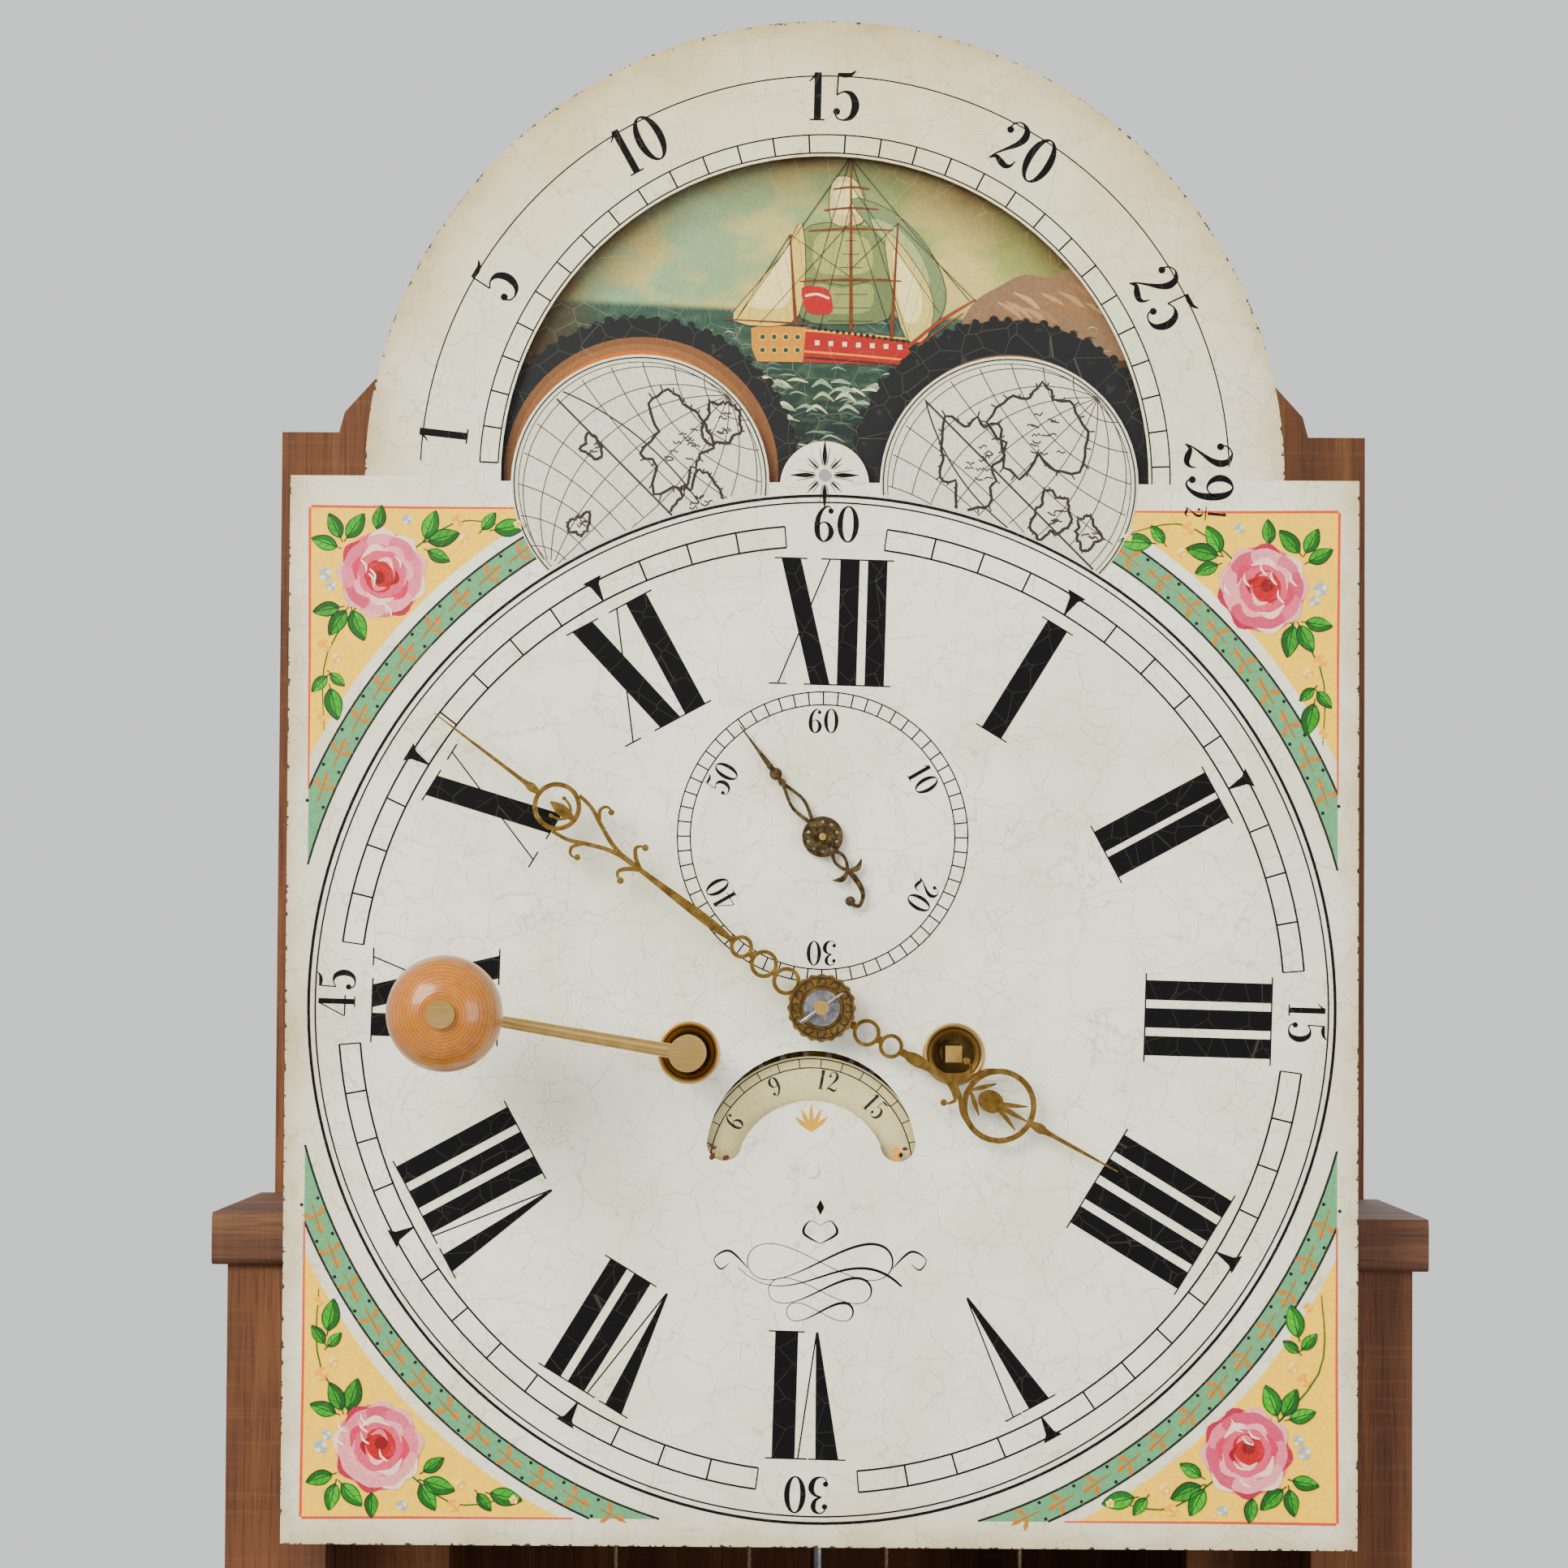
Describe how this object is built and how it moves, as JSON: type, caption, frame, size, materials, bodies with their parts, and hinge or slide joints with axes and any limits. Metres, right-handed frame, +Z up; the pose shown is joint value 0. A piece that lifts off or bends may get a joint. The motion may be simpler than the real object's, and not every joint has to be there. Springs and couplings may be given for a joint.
{
  "type": "grandfather clock",
  "caption": "Longcase clock without its hood: painted arch dial with moon disc, eight-day striking movement, pendulum, weights and a wooden trunk and plinth.",
  "frame": {"origin": "centre of the plinth's flat underside, on the floor", "axes": "+Z up; the dial faces -Y; +X to the right as seen from the front"},
  "size_m": [0.4944, 0.2736, 1.969],
  "materials": {
    "case_wood": "polished hardwood",
    "rough_wood": "sawn, unpolished",
    "dial_paint": "hand-painted enamel",
    "disc_paint": "painted",
    "clock_brass": "lacquered",
    "aged_brass": "aged, engraved",
    "steel": "polished",
    "iron": "cast",
    "bell_metal": "turned",
    "knob_wood": "turned and varnished",
    "gut": "twisted gut",
    "hinge_brass": "cast, worn"
  },
  "bodies": {
    "root": {"plinth_panels": "case_wood", "plinth_skirting": "case_wood", "waist_moulding": "case_wood", "trunk_sides": "case_wood", "trunk_front_frame": "case_wood", "hood_moulding": "case_wood", "backboard": "rough_wood", "cheeks": "rough_wood", "seatboard": "rough_wood", "hinge_frame_leaves": "hinge_brass", "seatboard_bolts": "steel", "dial_plate": "dial_paint", "dial_fixings": "steel", "winding_grommets": "clock_brass", "front_plate": "clock_brass", "back_plate": "clock_brass", "movement_pillars": "clock_brass", "back_cock": "clock_brass", "bell": "bell_metal", "bell_stand": "steel", "going_line": "gut", "strike_line": "gut"},
    "door": {"trunk_door": "case_wood", "hinge_door_leaves": "hinge_brass", "door_lock": "steel", "escutcheon": "hinge_brass"},
    "lock_bolt": {"lock_bolt": "steel"},
    "moon": {"moon_disc": "disc_paint"},
    "date": {"date_disc": "disc_paint"},
    "going_barrel": {"going_barrel": "clock_brass"},
    "going_great": {"going_great_wheel": "clock_brass"},
    "centre": {"centre_wheel": "clock_brass", "cannon_wheel": "clock_brass", "minute_hand": "aged_brass", "hand_collet": "steel"},
    "third": {"third_wheel": "clock_brass"},
    "escape": {"escape_wheel": "clock_brass", "seconds_hand": "aged_brass"},
    "minute_wheel": {"minute_wheel": "clock_brass"},
    "hour": {"hour_wheel": "clock_brass", "hour_hand": "aged_brass"},
    "anchor": {"anchor": "steel"},
    "strike_barrel": {"strike_barrel": "clock_brass"},
    "crank": {"crank": "clock_brass"},
    "knob": {"crank_knob": "knob_wood"},
    "strike_great": {"strike_great_wheel": "clock_brass"},
    "pin_wheel": {"pin_wheel": "clock_brass"},
    "gathering": {"gathering_wheel": "clock_brass"},
    "warning": {"warning_wheel": "clock_brass"},
    "fly": {"fly": "clock_brass"},
    "hammer": {"hammer": "steel"},
    "rack": {"rack": "steel"},
    "rack_hook": {"rack_hook": "steel"},
    "lifting": {"lifting_piece": "steel"},
    "pendulum": {"pendulum_rod": "steel"},
    "bob": {"pendulum_bob": "clock_brass"},
    "going_weight": {"going_weight": "iron"},
    "going_pulley": {"going_pulley": "clock_brass"},
    "strike_weight": {"strike_weight": "iron"},
    "strike_pulley": {"strike_pulley": "clock_brass"}
  },
  "joints": [
    {"name": "door_swing", "type": "hinge", "parent": "root", "child": "door", "pos_m": [0.1308, -0.081, 0.953], "axis": [0, 0, 1], "range_deg": [0, 100]},
    {"name": "lock_bolt_slide", "type": "slide", "parent": "door", "child": "lock_bolt", "axis": [-1, 0, 0], "range_m": [0, 0.009]},
    {"name": "moon_turn", "type": "hinge", "parent": "root", "child": "moon", "pos_m": [0, -0.075, 1.817], "axis": [0, 1, 0], "continuous": true},
    {"name": "date_turn", "type": "hinge", "parent": "root", "child": "date", "pos_m": [-0.0032, -0.075, 1.5864], "axis": [0, 1, 0], "continuous": true},
    {"name": "escape_turn", "type": "hinge", "parent": "root", "child": "escape", "pos_m": [0, 0.0005, 1.6966], "axis": [0, 1, 0], "continuous": true},
    {"name": "third_turn", "type": "hinge", "parent": "root", "child": "third", "pos_m": [0.00469, 0.0005, 1.67024], "axis": [0, 1, 0], "continuous": true},
    {"name": "centre_turn", "type": "hinge", "parent": "root", "child": "centre", "pos_m": [0, 0.0005, 1.64], "axis": [0, 1, 0], "continuous": true},
    {"name": "going_great_turn", "type": "hinge", "parent": "root", "child": "going_great", "pos_m": [0.0439, 0.0005, 1.6249], "axis": [0, 1, 0], "continuous": true},
    {"name": "minute_wheel_turn", "type": "hinge", "parent": "root", "child": "minute_wheel", "pos_m": [-0.01334, -0.0416, 1.60335], "axis": [0, 1, 0], "continuous": true},
    {"name": "hour_turn", "type": "hinge", "parent": "root", "child": "hour", "pos_m": [0, -0.0466, 1.64], "axis": [0, 1, 0], "continuous": true},
    {"name": "fly_turn", "type": "hinge", "parent": "root", "child": "fly", "pos_m": [-0.04445, 0.0005, 1.71516], "axis": [0, 1, 0], "continuous": true},
    {"name": "warning_turn", "type": "hinge", "parent": "root", "child": "warning", "pos_m": [-0.03494, 0.0005, 1.70375], "axis": [0, 1, 0], "continuous": true},
    {"name": "gathering_turn", "type": "hinge", "parent": "root", "child": "gathering", "pos_m": [-0.04504, 0.0005, 1.68777], "axis": [0, 1, 0], "continuous": true},
    {"name": "pin_wheel_turn", "type": "hinge", "parent": "root", "child": "pin_wheel", "pos_m": [-0.03805, 0.0005, 1.66356], "axis": [0, 1, 0], "continuous": true},
    {"name": "strike_great_turn", "type": "hinge", "parent": "root", "child": "strike_great", "pos_m": [-0.0439, 0.0005, 1.6249], "axis": [0, 1, 0], "continuous": true},
    {"name": "going_weight_rise", "type": "slide", "parent": "root", "child": "going_weight", "axis": [0, 0, 1], "range_m": [-0.9, 0.25], "deforming": ["going_line"]},
    {"name": "strike_weight_rise", "type": "slide", "parent": "root", "child": "strike_weight", "axis": [0, 0, 1], "range_m": [-0.9, 0.25], "deforming": ["strike_line"]},
    {"name": "going_barrel_turn", "type": "hinge", "parent": "root", "child": "going_barrel", "pos_m": [0.0439, 0.0005, 1.6249], "axis": [0, 1, 0], "range_deg": [-1100, 3954]},
    {"name": "strike_barrel_turn", "type": "hinge", "parent": "root", "child": "strike_barrel", "pos_m": [-0.0439, 0.0005, 1.6249], "axis": [0, 1, 0], "range_deg": [-3954, 1100]},
    {"name": "going_pulley_turn", "type": "hinge", "parent": "going_weight", "child": "going_pulley", "pos_m": [0.0469, 0.00465, 1.25], "axis": [0, 1, 0], "range_deg": [-623, 2235]},
    {"name": "strike_pulley_turn", "type": "hinge", "parent": "strike_weight", "child": "strike_pulley", "pos_m": [-0.0469, 0.00465, 1.25], "axis": [0, 1, 0], "range_deg": [-2235, 623]},
    {"name": "crank_pull", "type": "slide", "parent": "strike_barrel", "child": "crank", "axis": [0, -1, 0], "range_m": [0, 0.035]},
    {"name": "knob_spin", "type": "hinge", "parent": "crank", "child": "knob", "pos_m": [-0.12083, -0.1195, 1.63777], "axis": [0, 1, 0], "continuous": true},
    {"name": "pendulum_swing", "type": "hinge", "parent": "root", "child": "pendulum", "pos_m": [0, 0.0555, 1.7276], "axis": [0, 1, 0], "range_deg": [-2.4, 2.4]},
    {"name": "anchor_rock", "type": "hinge", "parent": "root", "child": "anchor", "pos_m": [0, 0.0005, 1.7276], "axis": [0, 1, 0], "range_deg": [-2.41, 2.41]},
    {"name": "bob_regulation", "type": "slide", "parent": "pendulum", "child": "bob", "axis": [0, 0, 1], "range_m": [-0.012, 0.012]},
    {"name": "hammer_lift", "type": "hinge", "parent": "root", "child": "hammer", "pos_m": [-0.068, 0.0005, 1.675], "axis": [0, 1, 0], "range_deg": [-12, 0], "stiffness_Nm_per_rad": 0.2, "springref_deg": 11.46},
    {"name": "rack_fall", "type": "hinge", "parent": "root", "child": "rack", "pos_m": [-0.062, -0.0405, 1.648], "axis": [0, 1, 0], "range_deg": [0, 30]},
    {"name": "rack_hook_lift", "type": "hinge", "parent": "root", "child": "rack_hook", "pos_m": [-0.014, -0.0405, 1.706], "axis": [0, 1, 0], "range_deg": [0, 8]},
    {"name": "lifting_piece_lift", "type": "hinge", "parent": "root", "child": "lifting", "pos_m": [0.026, -0.038, 1.67], "axis": [0, 1, 0], "range_deg": [0, 8]}
  ],
  "couplings": [
    {"joint": "third_turn", "follows": "escape_turn", "ratio": -0.125},
    {"joint": "centre_turn", "follows": "escape_turn", "ratio": 0.016667},
    {"joint": "going_great_turn", "follows": "escape_turn", "ratio": -0.0013889},
    {"joint": "minute_wheel_turn", "follows": "escape_turn", "ratio": -0.016667},
    {"joint": "hour_turn", "follows": "escape_turn", "ratio": 0.0013889},
    {"joint": "warning_turn", "follows": "fly_turn", "ratio": -0.125},
    {"joint": "gathering_turn", "follows": "fly_turn", "ratio": 0.015625},
    {"joint": "pin_wheel_turn", "follows": "fly_turn", "ratio": -0.0019531},
    {"joint": "strike_great_turn", "follows": "fly_turn", "ratio": 0.00018601},
    {"joint": "going_barrel_turn", "follows": "going_weight_rise", "rad_per_m": -76.628},
    {"joint": "strike_barrel_turn", "follows": "strike_weight_rise", "rad_per_m": 76.628},
    {"joint": "going_pulley_turn", "follows": "going_weight_rise", "rad_per_m": -43.29},
    {"joint": "strike_pulley_turn", "follows": "strike_weight_rise", "rad_per_m": 43.29},
    {"joint": "anchor_rock", "follows": "pendulum_swing", "ratio": 1}
  ]
}
